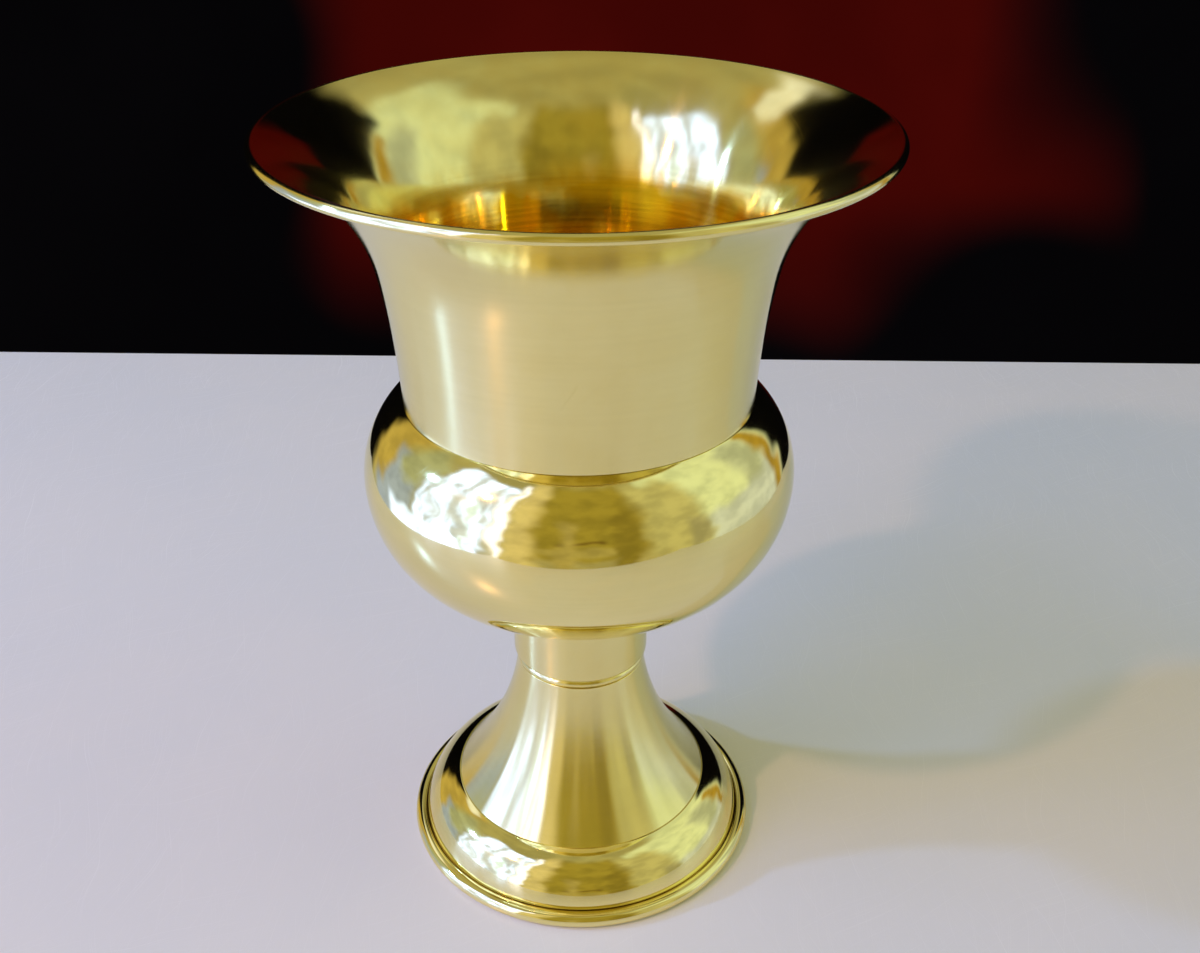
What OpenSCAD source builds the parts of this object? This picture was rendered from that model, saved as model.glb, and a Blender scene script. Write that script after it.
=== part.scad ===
// Footed ceremonial cup: a flared cup over a round bowl, on a turned collar
// and a trumpet foot, spun in brass sheet and drawn together by one stud.
// Millimetres, +Z up, origin on the table under the centre of the foot.

/* [Cup] */
// Outside diameter over the rolled rim
rim_diameter = 140; // [125:1:170]
// Outside diameter at the crease where cup and bowl meet
waist_diameter = 83.4; // [69:0.1:100]
// How far the wall leans out between the waist and the start of the flare
wall_spread = 4; // [1:0.1:6]
// Height of the nearly straight wall above the waist
wall_height = 33.8; // [28:0.1:41]
// Lean of the wall where the flare starts, in degrees from upright
flare_lean = 12; // [11:0.5:15]
// Height of the flare, up to the top of the rim
flare_height = 29.5; // [24:0.1:36]
// Sheet thickness of the cup
cup_sheet = 0.7; // [0.5:0.1:1]
// Thickness of the rolled rim
rim_roll = 2.4; // [2.2:0.1:3.6]

/* [Bowl] */
// Widest outside diameter of the bowl
bowl_diameter = 104.4; // [90:0.1:126]
// Height from the bowl's seat up to its widest ring
bowl_depth = 40.2; // [36:0.1:49]
// Height from the widest ring up to the waist
shoulder_height = 20; // [14:0.1:26]
// Radius of the bowl's lower arc, which turns in from the widest ring
lower_round = 30.3; // [25:0.1:36]
// How far the bowl's flat floor reaches past the collar's side
floor_margin = 0.55; // [0.3:0.05:1.5]
// Sheet thickness of the bowl
bowl_sheet = 0.8; // [0.6:0.1:1.2]
// Height of the bowl's neck that stands up inside the cup
lap_height = 4; // [2:0.5:8]

/* [Collar and stud] */
// Outside diameter of the collar
collar_diameter = 34.9; // [30:0.1:42]
// Height of the collar, from the foot to the bowl
collar_height = 17.1; // [14:0.1:21]
// Height of the bead at the collar's lower end
collar_bead = 2.3; // [1.5:0.1:3.5]
// How far the bead stands in from the collar's side
bead_inset = 0.5; // [0:0.1:1]
// Radius of the round-over above the bead
collar_round = 1; // [0.5:0.1:2]
// Bore through the collar, well clear of the stud
collar_bore = 18; // [12:0.5:22]
// Diameter of the plate brazed under the bowl
plate_diameter = 24; // [23:0.5:26]
// Thickness of that plate
plate_thickness = 2; // [1.5:0.1:3]
// Thread diameter of the stud and the nut
thread_diameter = 8; // [6:1:10]
// How far the stud shows below the nut
stud_end = 3.3; // [1:0.1:8]

/* [Foot] */
// Outside diameter over the rolled edge of the foot
foot_diameter = 93.6; // [84:0.1:113]
// Height of the cone, from the step up to the collar
cone_height = 38.6; // [36:0.1:47]
// How far the cone's top edge stands in from the collar's side
cone_inset = 0.85; // [0:0.05:1.5]
// Diameter of the cone's lower edge, at the step
step_diameter = 67.2; // [60:0.1:72]
// Height of the step above the table
step_height = 15.6; // [13:0.1:19]
// Lean of the cone at its top, in degrees from upright
cone_lean = 7; // [2:0.5:10]
// Sheet thickness of the cone and the base
foot_sheet = 0.8; // [0.6:0.1:1.2]
// Thickness of the rolled edge of the foot
foot_roll = 4; // [3.2:0.1:5]
// How far the base shows outside the cone's lower edge
step_ledge = 0.3; // [0.1:0.1:1]
// Width of the shelf that the cone stands on
shelf_width = 4.5; // [2:0.5:8]
// Depth taken off the rolled edge to give it a flat land
land_depth = 0.1; // [0.05:0.05:0.3]

/* [Fasteners] */
// Outside diameter of the clamp washer
washer_diameter = 24; // [18:0.5:26]
// Thickness of the clamp washer
washer_thickness = 1.6; // [1:0.1:2.5]
// Outside diameter of the spring washer
spring_diameter = 14.8; // [12.5:0.1:17]
// Thickness of the spring washer
spring_thickness = 2; // [1.5:0.1:2.5]
// Width of the spring washer's split
spring_split = 2; // [1:0.1:3]
// Width of the nut across its flats
nut_width = 13; // [12:0.5:17]
// Height of the nut
nut_height = 6.5; // [5:0.1:8]

/* [Fits] */
// Gap filled by solder in a lapped seam
solder_gap = 0.05; // [0.02:0.01:0.1]
// Gap all round a wire inside its roll
wire_gap = 0.02; // [0.01:0.01:0.05]
// Gap all round the thread
thread_gap = 0.05; // [0.02:0.01:0.1]
// Extra radius of a plain hole round the stud
hole_gap = 0.2; // [0.1:0.05:0.5]
// Gap round and below the plate in the collar
plate_gap = 0.1; // [0.05:0.05:0.3]

/* [Hidden] */
$fn = 128;
far = 400;

// Rounded to a thousandth, so that arcs that share a ring meet on it
function micron(x) = round(x * 1000) / 1000;

// Levels, from the table up
step_z = step_height;
cone_z = step_z + cone_height;
seat_z = cone_z + collar_height;
wide_z = seat_z + bowl_depth;
waist_z = wide_z + shoulder_height;
flare_z = waist_z + wall_height;
rim_z = flare_z + flare_height;

// Rolled rim and rolled foot: centre of each roll, and its inner radius
rim_r = rim_roll / 2;
rim_at = [rim_diameter / 2 - rim_r, rim_z - rim_r];
foot_r = foot_roll / 2;
foot_at = [foot_diameter / 2 - foot_r, foot_r - land_depth];

// Cup wall: an arc that hollows outwards, and ends at the flare's lean
waist_at = [waist_diameter / 2, waist_z];
flare_at = [waist_at.x + wall_spread, flare_z];
wall_chord = atan2(wall_spread, wall_height);
wall_lean = 2 * wall_chord - flare_lean;
wall_arc = norm(flare_at - waist_at) / (2 * sin(flare_lean - wall_chord));
wall_at = flare_at + wall_arc * [cos(flare_lean), -sin(flare_lean)];

// Flare: carries on from the wall, and its top side runs onto the rim's roll
flare_run = rim_at - flare_at;
flare_normal = [cos(flare_lean), -sin(flare_lean)];
roll_over = cup_sheet - rim_r;
flare_arc = (flare_run * flare_run - roll_over * roll_over)
    / (2 * (flare_run * flare_normal + roll_over));
flare_c = flare_at + flare_arc * flare_normal;
rim_dir = atan2(rim_at.y - flare_c.y, rim_at.x - flare_c.x);
curl_gap = 80;

// Bowl: a shoulder arc and a lower arc that share the widest ring, then a
// cone down to the flat floor, which cuts a little into the lower arc
bowl_r = bowl_diameter / 2;
swell = bowl_r - waist_at.x;
shoulder_arc = micron((swell * swell + shoulder_height * shoulder_height) / (2 * swell));
shoulder_at = [bowl_r - shoulder_arc, wide_z];
lower_at = [bowl_r - lower_round, wide_z];
floor_at = [collar_diameter / 2 + floor_margin, seat_z];
cone_in = lower_round * cos(4);
floor_to = lower_at - floor_at;
floor_slope = atan2(floor_to.y, floor_to.x) - asin(cone_in / norm(floor_to));
neck_r = waist_at.x - cup_sheet / cos(wall_lean) - solder_gap;

// Cone: one arc that hollows outwards, from the top to the step
cone_top = [collar_diameter / 2 - cone_inset, cone_z];
cone_foot = [step_diameter / 2, step_z];
cone_chord = atan2(cone_foot.x - cone_top.x, cone_height);
cone_arc = norm(cone_foot - cone_top) / (2 * sin(cone_chord - cone_lean));
cone_at = cone_top + cone_arc * [cos(cone_lean), sin(cone_lean)];

// Base: a dome that turns upright just inside the rolled edge
ledge_r = cone_foot.x + step_ledge;
dome_r = foot_at.x - foot_r + foot_sheet;
dome_rise = step_z - foot_at.y;
dome_run = dome_r - ledge_r;
dome_arc = micron((dome_run * dome_run + dome_rise * dome_rise) / (2 * dome_run));
dome_at = [dome_r - dome_arc, foot_at.y];

// Stud and the stack clamped under the cone's top
thread_r = thread_diameter / 2;
hole_r = thread_r + hole_gap;
washer_z = cone_z - foot_sheet - washer_thickness;
spring_z = washer_z - spring_thickness;
nut_z = spring_z - nut_height;
stud_z = nut_z - stud_end;
chamfer = 0.7;

brass = [0.78, 0.72, 0.45];
wire_brass = [0.72, 0.62, 0.34];
steel = [0.72, 0.73, 0.75];

function on_arc(c, r, a) = c + r * [cos(a), sin(a)];

// The wedge between two directions from a point, less than half a turn apart
module wedge(c, from, to)
    polygon([c, on_arc(c, far, from), on_arc(c, far, (from + to) / 2), on_arc(c, far, to)]);

module ring(c, inner, outer)
    difference() {
        translate(c) circle(outer);
        translate(c) circle(inner);
    }

// Sheet rolled round a wire, open between two directions
module curl(c, outer, sheet, from, to)
    difference() {
        ring(c, outer - sheet, outer);
        wedge(c, from, to);
    }

module wire(c, r)
    rotate_extrude() translate(c) circle(r);

module disc(z, r, h, hole)
    translate([0, 0, z]) difference() {
        cylinder(r = r, h = h);
        translate([0, 0, -1]) cylinder(r = hole, h = h + 2);
    }

// What lies below the line across the wall where the flare starts
module below_flare()
    polygon([flare_at - 5 * flare_normal, flare_at + far * flare_normal, [far, 0], [0, 0]]);

// What lies on the flare's side of the line across it where the rim's roll starts
module before_roll()
    polygon([flare_c, on_arc(flare_c, far, rim_dir), on_arc(flare_c, far, 190), [0, 0], [flare_c.x, 0]]);

module upper_cup()
    color(brass) rotate_extrude() {
        intersection() {
            ring(wall_at, wall_arc, wall_arc + cup_sheet);
            below_flare();
            translate([0, waist_z]) square([far, far]);
        }
        intersection() {
            difference() {
                ring(flare_c, flare_arc, flare_arc + cup_sheet);
                below_flare();
            }
            before_roll();
        }
        difference() {
            ring(rim_at, rim_r - cup_sheet, rim_r);
            intersection() {
                wedge(rim_at, rim_dir - 20, rim_dir + curl_gap);
                before_roll();
            }
        }
    }

module rim_wire()
    color(wire_brass) wire(rim_at, rim_r - cup_sheet - wire_gap);

// Everything inside the bowl's outer side, shrunk by d
module bowl_form(d) {
    turn = lower_at + (cone_in - d) * [sin(floor_slope), -cos(floor_slope)];
    intersection() {
        union() {
            difference() {
                translate(lower_at) circle(lower_round - d);
                difference() {
                    translate([0, wide_z]) square([far, far]);
                    translate(shoulder_at) circle(shoulder_arc - d);
                }
            }
            polygon([[0, seat_z + d], floor_at + d * [-tan(floor_slope / 2), 1],
                turn, [turn.x, wide_z], [0, wide_z]]);
        }
        square([far, waist_z - solder_gap - d]);
    }
}

module lower_bowl()
    color(brass) rotate_extrude() difference() {
        union() {
            bowl_form(0);
            translate([0, wide_z]) square([neck_r, shoulder_height + lap_height]);
        }
        bowl_form(bowl_sheet);
        translate([0, wide_z]) square([neck_r - bowl_sheet, far]);
    }

module stud_plate()
    color(wire_brass) disc(seat_z - plate_thickness, plate_diameter / 2, plate_thickness,
        thread_r + thread_gap);

// The stud, pointed at its lower end
module threaded_stud()
    color(wire_brass) rotate_extrude()
        polygon([[0, stud_z], [thread_r - chamfer, stud_z], [thread_r, stud_z + chamfer],
            [thread_r, seat_z], [0, seat_z]]);

module neck_collar() {
    r = collar_diameter / 2;
    bead_r = collar_bead / 2;
    round_z = cone_z + collar_bead + collar_round;
    recess = plate_thickness + plate_gap;
    color(brass) difference() {
        rotate_extrude() {
            translate([0, round_z]) square([r, seat_z - round_z]);
            translate([r - collar_round, round_z]) circle(collar_round);
            translate([0, cone_z]) square([r - bead_inset - bead_r, collar_bead]);
            translate([0, round_z - collar_round]) square([r - collar_round, collar_round]);
            translate([r - bead_inset - bead_r, cone_z + bead_r]) circle(bead_r);
        }
        translate([0, 0, cone_z - 1]) cylinder(d = collar_bore, h = collar_height + 2);
        translate([0, 0, seat_z - recess])
            cylinder(r = plate_diameter / 2 + plate_gap, h = recess + 1);
    }
}

// Everything inside the cone's outer side, shrunk by d
module cone_form(d)
    difference() {
        translate([0, step_z - d]) square([cone_at.x, cone_height]);
        translate(cone_at) circle(cone_arc + d);
    }

module foot_cone()
    color(brass) rotate_extrude() difference() {
        cone_form(0);
        cone_form(foot_sheet);
        square([hole_r, far]);
    }

// Everything inside the dome's outer side, shrunk by d
module dome_form(d)
    intersection() {
        union() {
            translate(dome_at) circle(dome_arc - d);
            translate([0, foot_at.y]) square([dome_at.x, dome_rise]);
        }
        translate([0, foot_at.y]) square([far, dome_rise - d]);
    }

module foot_base()
    color(brass) rotate_extrude() {
        difference() {
            dome_form(0);
            dome_form(foot_sheet);
            square([cone_foot.x - shelf_width, far]);
        }
        intersection() {
            curl(foot_at, foot_r, foot_sheet, 120, 180);
            square([far, far]);
        }
    }

module foot_wire()
    color(wire_brass) wire(foot_at, foot_r - foot_sheet - wire_gap);

module clamp_washer()
    color(steel) disc(washer_z, washer_diameter / 2, washer_thickness, hole_r);

// The spring washer, split on its +Y side
module spring_washer()
    color(steel) difference() {
        disc(spring_z, spring_diameter / 2, spring_thickness, hole_r);
        translate([-spring_split / 2, 0, spring_z - 1])
            cube([spring_split, spring_diameter, spring_thickness + 2]);
    }

// The nut, its corners turned off top and bottom
module hex_nut() {
    across = nut_width / cos(30) / 2;
    turned = across - nut_width / 2;
    drop = turned * tan(30);
    color(steel) difference() {
        intersection() {
            translate([0, 0, nut_z]) cylinder(r = across, h = nut_height, $fn = 6);
            rotate_extrude()
                polygon([[0, nut_z], [nut_width / 2, nut_z], [across, nut_z + drop],
                    [across, spring_z - drop], [nut_width / 2, spring_z], [0, spring_z]]);
        }
        translate([0, 0, nut_z - 1]) cylinder(r = thread_r + thread_gap, h = nut_height + 2);
    }
}

upper_cup();
rim_wire();
lower_bowl();
stud_plate();
threaded_stud();
neck_collar();
foot_cone();
foot_base();
foot_wire();
clamp_washer();
spring_washer();
hex_nut();
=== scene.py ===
import math

import bpy
from mathutils import Matrix, Vector


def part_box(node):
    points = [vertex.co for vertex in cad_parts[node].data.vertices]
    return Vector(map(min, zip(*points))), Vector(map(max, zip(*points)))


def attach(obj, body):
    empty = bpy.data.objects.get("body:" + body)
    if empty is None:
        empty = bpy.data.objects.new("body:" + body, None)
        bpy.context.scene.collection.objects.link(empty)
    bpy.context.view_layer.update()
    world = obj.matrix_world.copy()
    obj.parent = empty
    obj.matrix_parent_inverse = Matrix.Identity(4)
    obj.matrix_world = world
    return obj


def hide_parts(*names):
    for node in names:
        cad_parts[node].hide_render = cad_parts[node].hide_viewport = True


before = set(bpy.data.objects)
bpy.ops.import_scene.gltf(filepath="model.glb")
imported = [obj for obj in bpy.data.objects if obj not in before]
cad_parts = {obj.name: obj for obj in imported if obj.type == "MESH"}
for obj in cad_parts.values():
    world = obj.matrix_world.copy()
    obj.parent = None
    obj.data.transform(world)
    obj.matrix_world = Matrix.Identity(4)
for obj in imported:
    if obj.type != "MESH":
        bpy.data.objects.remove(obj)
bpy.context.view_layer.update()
mm = 0.001
print("frame loaded")


# Small helpers for node trees

def fill(tree, socket, value):
    if isinstance(value, bpy.types.NodeSocket):
        tree.links.new(value, socket)
    else:
        socket.default_value = value


def addNode(tree, kind, place, inputs=None, **settings):
    node = tree.nodes.new(kind)
    node.location = place
    for name, value in settings.items():
        setattr(node, name, value)
    for name, value in (inputs or {}).items():
        fill(tree, node.inputs[name], value)
    return node


def calc(tree, kind, place, operation, *values):
    node = addNode(tree, kind, place, operation=operation)
    for slot, value in enumerate(values):
        fill(tree, node.inputs[slot], value)
    return node.outputs[0]


def calcFloat(tree, place, operation, *values):
    return calc(tree, "ShaderNodeMath", place, operation, *values)


def calcCount(tree, place, operation, *values):
    return calc(tree, "FunctionNodeIntegerMath", place, operation, *values)


def newTree(name, kind, inputs, outputs):
    tree = bpy.data.node_groups.new(name, kind)
    for direction, sockets in (("INPUT", inputs), ("OUTPUT", outputs)):
        for label, (socketKind, default) in sockets.items():
            socket = tree.interface.new_socket(label, in_out=direction, socket_type=socketKind)
            if default is not None:
                socket.default_value = default
    source = addNode(tree, "NodeGroupInput", (-1200, 0))
    target = addNode(tree, "NodeGroupOutput", (1400, 0))
    return tree, source.outputs, target.inputs


# Profiles: radius and height in millimetres, walked from end to end

def arcPart(centre, radius, start, end):
    return ("arc", centre, radius, math.radians(start), math.radians(end))


def linePart(start, end):
    return ("line", start, end)


def partLength(part):
    if part[0] == "arc":
        return part[2] * abs(part[4] - part[3])
    return math.dist(part[1], part[2])


def pointAlong(part, run):
    share = run / partLength(part)
    if part[0] == "arc":
        turn = part[3] + (part[4] - part[3]) * share
        return (part[1][0] + part[2] * math.cos(turn), part[1][1] + part[2] * math.sin(turn))
    return tuple(a + (b - a) * share for a, b in zip(part[1], part[2]))


def gradedStops(begin, end, step, fine):  # closer together near both ends
    growth = 1.7
    stops, gap = [0.0], fine
    while stops[-1] + gap < (end - begin) / 2 - gap / 4:
        stops.append(stops[-1] + gap)
        gap = min(gap * growth, step)
    return [begin + s for s in stops] + [(begin + end) / 2] + [end - s for s in reversed(stops)]


# Each part comes with the rounding of the corner at its end, and each row is (radius, height, edge mask)
def profileRows(parts, step, arcTurn, closed):
    wearReach, farFromEdge, sameSpot = 0.5, 9.0, 0.002
    mostRounded, fineShare, leastRounding, cornerSteps = 0.4, 0.3, 0.1, 6
    rows = []
    for index, (part, roundAfter) in enumerate(parts):
        following = parts[(index + 1) % len(parts)][0]
        roundBefore = parts[index - 1][1] if index or closed else 0
        length = partLength(part)
        begin, end = min(roundBefore, length * mostRounded), length - min(roundAfter, length * mostRounded)
        longest = step if part[0] == "line" else min(step, part[2] * math.radians(arcTurn))
        smaller = min(roundBefore, roundAfter) or max(roundBefore, roundAfter)
        fine = min(longest, fineShare * max(smaller, leastRounding))
        for run in gradedStops(begin, end, longest, fine):
            edges = [at for at, size in ((begin, roundBefore), (end, roundAfter)) if size]
            reach = min([farFromEdge] + [abs(run - at) for at in edges])
            rows.append((*pointAlong(part, run), math.exp(-reach / wearReach)))
        if roundAfter and (closed or index < len(parts) - 1):
            corner = pointAlong(part, length)
            first = pointAlong(part, end)
            last = pointAlong(following, min(roundAfter, partLength(following) * mostRounded))
            for count in range(1, cornerSteps):
                share = count / cornerSteps
                weights = ((1 - share) ** 2, 2 * share * (1 - share), share ** 2)
                spot = [sum(w * p[axis] for w, p in zip(weights, (first, corner, last))) for axis in (0, 1)]
                rows.append((*spot, 1.0))
    kept = rows[:1]
    for row in rows[1:]:
        if math.dist(row[:2], kept[-1][:2]) > sameSpot:
            kept.append(row)
    if closed:
        kept.append(kept[0])
    return kept


# Lathe: a grid of rows and turns, laid on the profile's rows and turned about Z

latheTree, given, result = newTree(
    "latheSpinning", "GeometryNodeTree",
    {"Geometry": ("NodeSocketGeometry", None), "Turns": ("NodeSocketInt", 256),
     "Inside From": ("NodeSocketFloat", 0.0), "Inside To": ("NodeSocketFloat", 0.0),
     "Thread Radius": ("NodeSocketFloat", 1.0), "Thread Depth": ("NodeSocketFloat", 0.0), "Pitch": ("NodeSocketFloat", 0.001),
     "Outside": ("NodeSocketMaterial", None), "Inside": ("NodeSocketMaterial", None)},
    {"Geometry": ("NodeSocketGeometry", None)})
domain = addNode(latheTree, "GeometryNodeAttributeDomainSize", (-1000, 300), {"Geometry": given["Geometry"]})
rowCount = domain.outputs["Point Count"]
gridTurns = calcCount(latheTree, (-1000, 100), "ADD", given["Turns"], 1)
grid = addNode(latheTree, "GeometryNodeMeshGrid", (-800, 300), {"Vertices X": gridTurns, "Vertices Y": rowCount})
here = addNode(latheTree, "GeometryNodeInputIndex", (-1000, -100)).outputs[0]
rowIndex = calcCount(latheTree, (-800, 0), "MODULO", here, rowCount)
turnIndex = calcCount(latheTree, (-800, -150), "DIVIDE_FLOOR", here, rowCount)
turnShare = calcFloat(latheTree, (-600, -150), "DIVIDE", turnIndex, given["Turns"])
angle = calcFloat(latheTree, (-450, -150), "MULTIPLY", turnShare, 2 * math.pi)


def fromProfile(place, kind, value):
    node = addNode(latheTree, "GeometryNodeSampleIndex", place, data_type=kind, domain="POINT")
    fill(latheTree, node.inputs["Geometry"], given["Geometry"])
    fill(latheTree, node.inputs["Value"], value)
    fill(latheTree, node.inputs["Index"], rowIndex)
    return node.outputs[0]


def namedValue(place, name):
    return addNode(latheTree, "GeometryNodeInputNamedAttribute", place, {"Name": name}, data_type="FLOAT").outputs[0]


profilePoint = fromProfile((-600, 50), "FLOAT_VECTOR", addNode(latheTree, "GeometryNodeInputPosition", (-800, -300)).outputs[0])
profileSplit = addNode(latheTree, "ShaderNodeSeparateXYZ", (-400, 50), {"Vector": profilePoint})
radius, height = profileSplit.outputs["X"], profileSplit.outputs["Z"]
# The thread: a triangle wave that climbs one pitch each turn, cut into the plain radius and flat at its root
rootGain = 1.25
pitches = calcFloat(latheTree, (-350, -300), "DIVIDE", height, given["Pitch"])
climb = calcFloat(latheTree, (-200, -250), "SUBTRACT", pitches, turnShare)
wave = calcFloat(latheTree, (-50, -250), "MULTIPLY", calcFloat(latheTree, (-50, -400), "PINGPONG", climb, 0.5), 2.0)
flank = calcFloat(latheTree, (100, -400), "MINIMUM", calcFloat(latheTree, (100, -250), "MULTIPLY", wave, rootGain), 1.0)
cutDepth = calcFloat(latheTree, (250, -400), "MULTIPLY", flank, given["Thread Depth"])
threadR = calcFloat(latheTree, (250, -250), "SUBTRACT", given["Thread Radius"], cutDepth)
cutRadius = calcFloat(latheTree, (400, -200), "MINIMUM", radius, threadR)
spot = addNode(latheTree, "ShaderNodeCombineXYZ", (550, 0), {
    "X": calcFloat(latheTree, (400, 50), "MULTIPLY", cutRadius, calcFloat(latheTree, (250, 100), "COSINE", angle)),
    "Y": calcFloat(latheTree, (400, -50), "MULTIPLY", cutRadius, calcFloat(latheTree, (250, 0), "SINE", angle)),
    "Z": height})
turned = addNode(latheTree, "GeometryNodeSetPosition", (700, 300), {
    "Geometry": grid.outputs["Mesh"], "Position": spot.outputs[0]}).outputs[0]
for column, name in enumerate(("profileRun", "edgeMask")):
    value = fromProfile((500, 500 + 200 * column), "FLOAT", namedValue((300, 500 + 200 * column), name))
    store = addNode(latheTree, "GeometryNodeStoreNamedAttribute", (850 + 150 * column, 300), {"Geometry": turned, "Name": name},
                    data_type="FLOAT", domain="POINT")
    fill(latheTree, store.inputs["Value"], value)
    turned = store.outputs[0]
closedMesh = addNode(latheTree, "GeometryNodeMergeByDistance", (1150, 300), {"Geometry": turned, "Distance": 1e-6}).outputs[0]
smoothed = addNode(latheTree, "GeometryNodeSetShadeSmooth", (1300, 300), {"Geometry": closedMesh}).outputs[0]
realized = addNode(latheTree, "GeometryNodeRealizeInstances", (1450, 300), {"Geometry": smoothed}).outputs[0]
outside = addNode(latheTree, "GeometryNodeSetMaterial", (1600, 300), {
    "Geometry": realized, "Material": given["Outside"]}).outputs[0]
along = namedValue((1400, 0), "profileRun")
isInside = addNode(latheTree, "FunctionNodeBooleanMath", (1700, 0), operation="AND")
for slot, (operation, limit) in enumerate((("GREATER_THAN", "Inside From"), ("LESS_THAN", "Inside To"))):
    fill(latheTree, isInside.inputs[slot], calcFloat(latheTree, (1550, -150 * slot), operation, along, given[limit]))
inside = addNode(latheTree, "GeometryNodeSetMaterial", (1850, 300), {
    "Geometry": outside, "Selection": isInside.outputs[0], "Material": given["Inside"]}).outputs[0]
fill(latheTree, result["Geometry"], inside)
latheSockets = {item.name: item.identifier for item in latheTree.interface.items_tree if item.in_out == "INPUT"}


# One closed turned piece from its profile rows, standing for a CAD node.
# The inside finish lies between two distances along the profile, in metres.
def spinPiece(name, rows, settings, node, finish, inside=None, insideRun=(0, 0)):
    mesh = bpy.data.meshes.new(name + "Profile")
    mesh.from_pydata([(r * mm, 0, z * mm) for r, z, _ in rows], [(i, i + 1) for i in range(len(rows) - 1)], [])
    run, runs = 0.0, [0.0]
    for a, b in zip(rows, rows[1:]):
        run += math.dist(a[:2], b[:2]) * mm
        runs.append(run)
    for label, values in (("profileRun", runs), ("edgeMask", [row[2] for row in rows])):
        mesh.attributes.new(label, "FLOAT", "POINT").data.foreach_set("value", values)
    blank = bpy.data.objects.new(name + "Blank", mesh)
    bpy.context.scene.collection.objects.link(blank)
    modifier = blank.modifiers.new("lathe", "NODES")
    modifier.node_group = latheTree
    values = {"Turns": settings["turns"], "Outside": finish, "Inside": inside or finish, "Inside From": insideRun[0],
              "Inside To": insideRun[1], **settings.get("thread", {})}
    for label, value in values.items():
        modifier[latheSockets[label]] = value
    graph = bpy.context.evaluated_depsgraph_get()
    solid = bpy.data.meshes.new_from_object(blank.evaluated_get(graph))
    bpy.data.objects.remove(blank)
    solid.name = name
    piece = bpy.data.objects.new(name, solid)
    bpy.context.scene.collection.objects.link(piece)
    volume = 0.0
    solid.calc_loop_triangles()
    for triangle in solid.loop_triangles:
        a, b, c = (solid.vertices[v].co for v in triangle.vertices)
        volume += a.dot(b.cross(c)) / 6
    if volume < 0:
        solid.flip_normals()
    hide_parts(node)
    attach(piece, "root")
    print(f"{name}: {len(rows)} rows, {len(solid.polygons)} faces, {abs(volume) * 1e9:.0f} mm3")


def nodeSize(node):  # largest radius, lowest and highest level of a CAD node, in millimetres
    low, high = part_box(node)
    return round(high.x / mm, 2), round(low.z / mm, 2), round(high.z / mm, 2)


# Finishes: shared groups give masks and heights, and each material mixes them with its own values

def groupNode(tree, group, place, inputs):
    node = tree.nodes.new("ShaderNodeGroup")
    node.node_tree, node.location = group, place
    for name, value in inputs.items():
        fill(tree, node.inputs[name], value)
    return node.outputs[0]


def vectorStep(tree, place, operation, *values):
    node = addNode(tree, "ShaderNodeVectorMath", place, operation=operation)
    for slot, value in enumerate(values):
        fill(tree, node.inputs["Scale" if operation == "SCALE" and slot else slot], value)
    return node.outputs[0]


def noiseAt(tree, place, vector, scale, detail=2.0, roughness=0.55):
    values = {"Vector": vector, "Scale": scale, "Detail": detail, "Roughness": roughness}
    return addNode(tree, "ShaderNodeTexNoise", place, values).outputs[0]


def between(tree, place, value, low, high, outLow=0.0, outHigh=1.0):
    values = {"Value": value, "From Min": low, "From Max": high, "To Min": outLow, "To Max": outHigh}
    return addNode(tree, "ShaderNodeMapRange", place, values, interpolation_type="SMOOTHSTEP").outputs[0]


def mixColour(tree, place, share, first, second):
    node = addNode(tree, "ShaderNodeMix", place, data_type="RGBA")
    for slot, value in ((0, share), (6, first), (7, second)):
        fill(tree, node.inputs[slot], value)
    return node.outputs[2]


def objectPlace(tree):
    return addNode(tree, "ShaderNodeTexCoord", (-1200, -300)).outputs["Object"]


def upright(tree, place, vector, stretch):  # the same place, with its height drawn out or pressed together
    scale = addNode(tree, "ShaderNodeCombineXYZ", (place[0] - 150, place[1] - 120), {"X": 1.0, "Y": 1.0, "Z": stretch})
    return vectorStep(tree, place, "MULTIPLY", vector, scale.outputs[0])


def oneOver(tree, place, value):
    return calcFloat(tree, place, "DIVIDE", 1.0, value)


number = "NodeSocketFloat"

# Marks that run round the axis, from spinning and turning: they change along the profile and drift slowly round it
spinRings, given, result = newTree(
    "spinRings", "ShaderNodeTree",
    {"Run": (number, 0.0), "Spacing": (number, 0.001), "Drift": (number, 1.0)}, {"Rings": (number, 0.0)})
flat = vectorStep(spinRings, (-1100, -200), "MULTIPLY", objectPlace(spinRings), (1, 1, 0))
outward = vectorStep(spinRings, (-1000, -200), "NORMALIZE", flat)
ringCount = calcFloat(spinRings, (-950, 0), "DIVIDE", given["Run"], given["Spacing"])
level = addNode(spinRings, "ShaderNodeCombineXYZ", (-800, 0), {"Z": ringCount}).outputs[0]
drifted = vectorStep(spinRings, (-800, -200), "SCALE", outward, given["Drift"])
ringPlace = vectorStep(spinRings, (-600, 0), "ADD", level, drifted)
fill(spinRings, result["Rings"], noiseAt(spinRings, (-400, 0), ringPlace, 1.0, 3.0, 0.6))

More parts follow.
